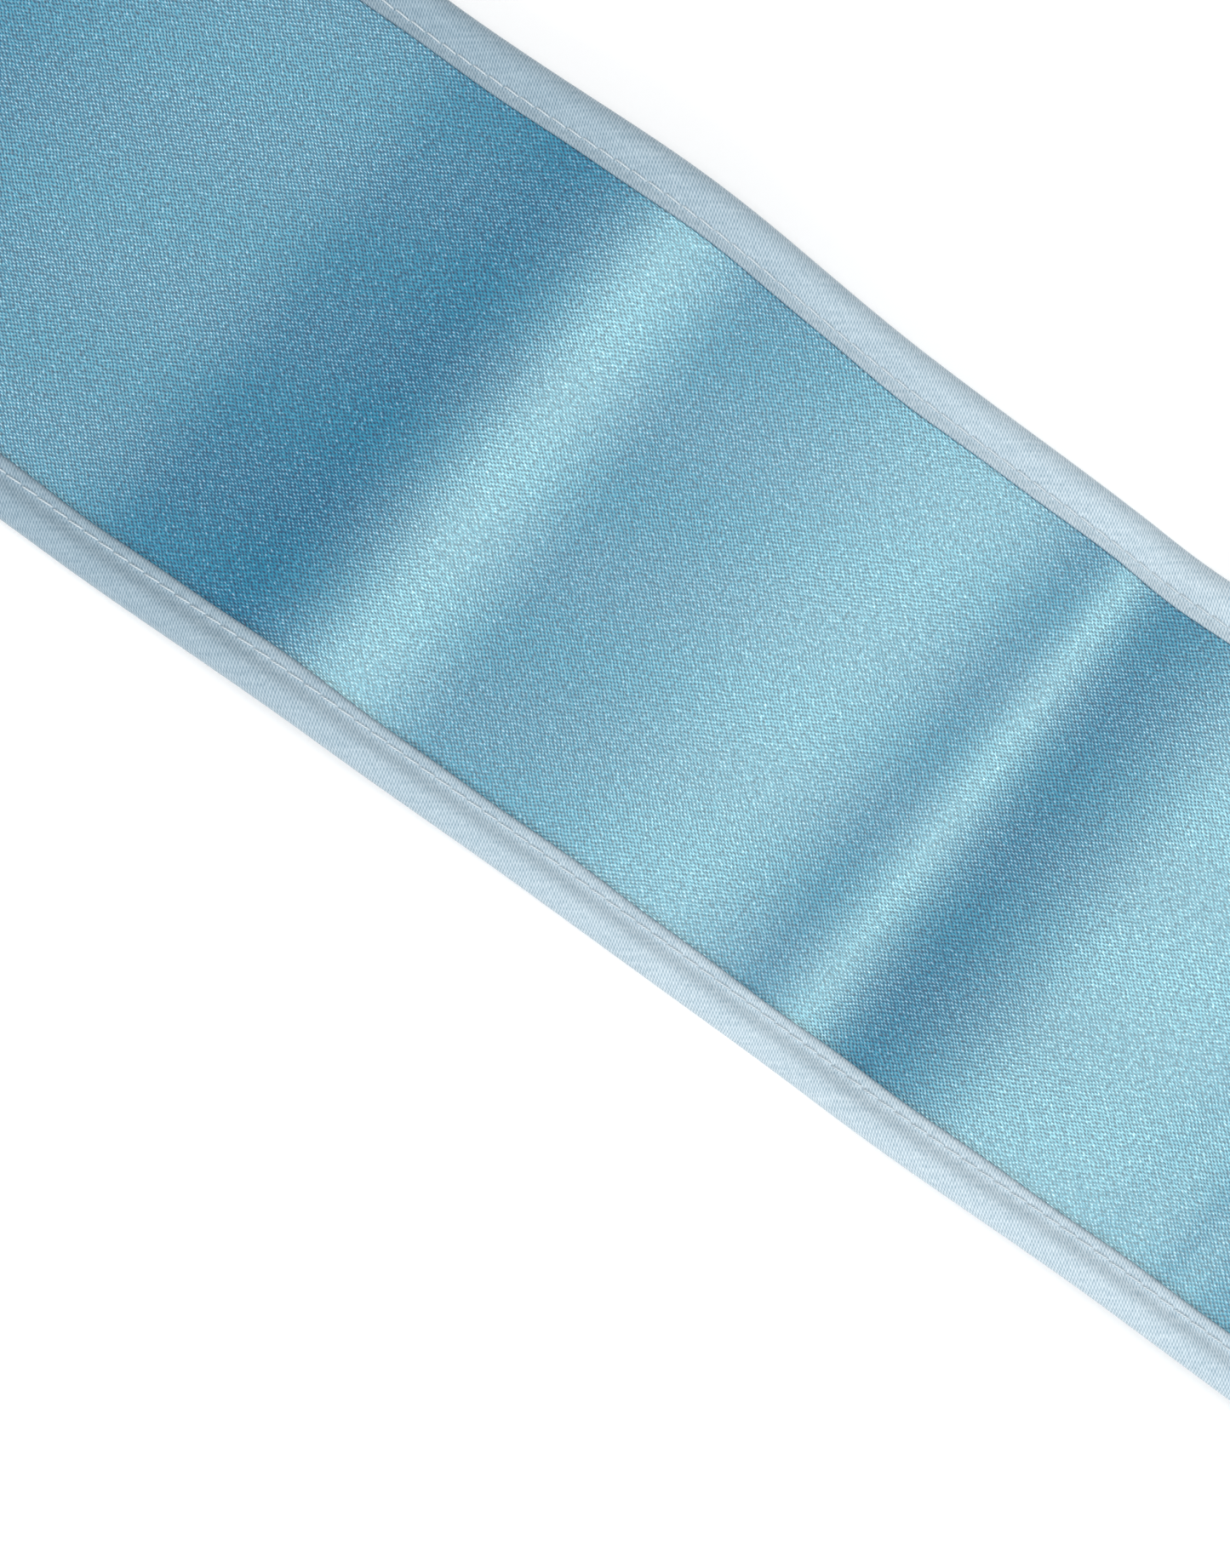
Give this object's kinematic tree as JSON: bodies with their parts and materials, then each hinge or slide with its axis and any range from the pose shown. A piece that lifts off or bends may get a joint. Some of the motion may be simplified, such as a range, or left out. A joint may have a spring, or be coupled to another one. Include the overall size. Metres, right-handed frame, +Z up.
{
  "type": "satin sash",
  "caption": "Long narrow sash of light blue satin with a rounded pale blue bias binding on every edge, laid flat in soft folds.",
  "frame": {"origin": "bottom centre of the bounding box, on the surface that the sash lies on", "axes": "+X along the sash, +Y across it to the far edge, +Z up out of the satin's face"},
  "size_m": [1.2, 0.0798, 0.014],
  "materials": {
    "satin": "light blue satin weave with a soft lustre",
    "binding": "pale ice-blue plain weave cut on the bias, matt"
  },
  "bodies": {
    "root": {"satin_panel": "satin", "binding_near": "binding", "binding_far": "binding", "binding_left_end": "binding", "binding_right_end": "binding"}
  },
  "joints": []
}
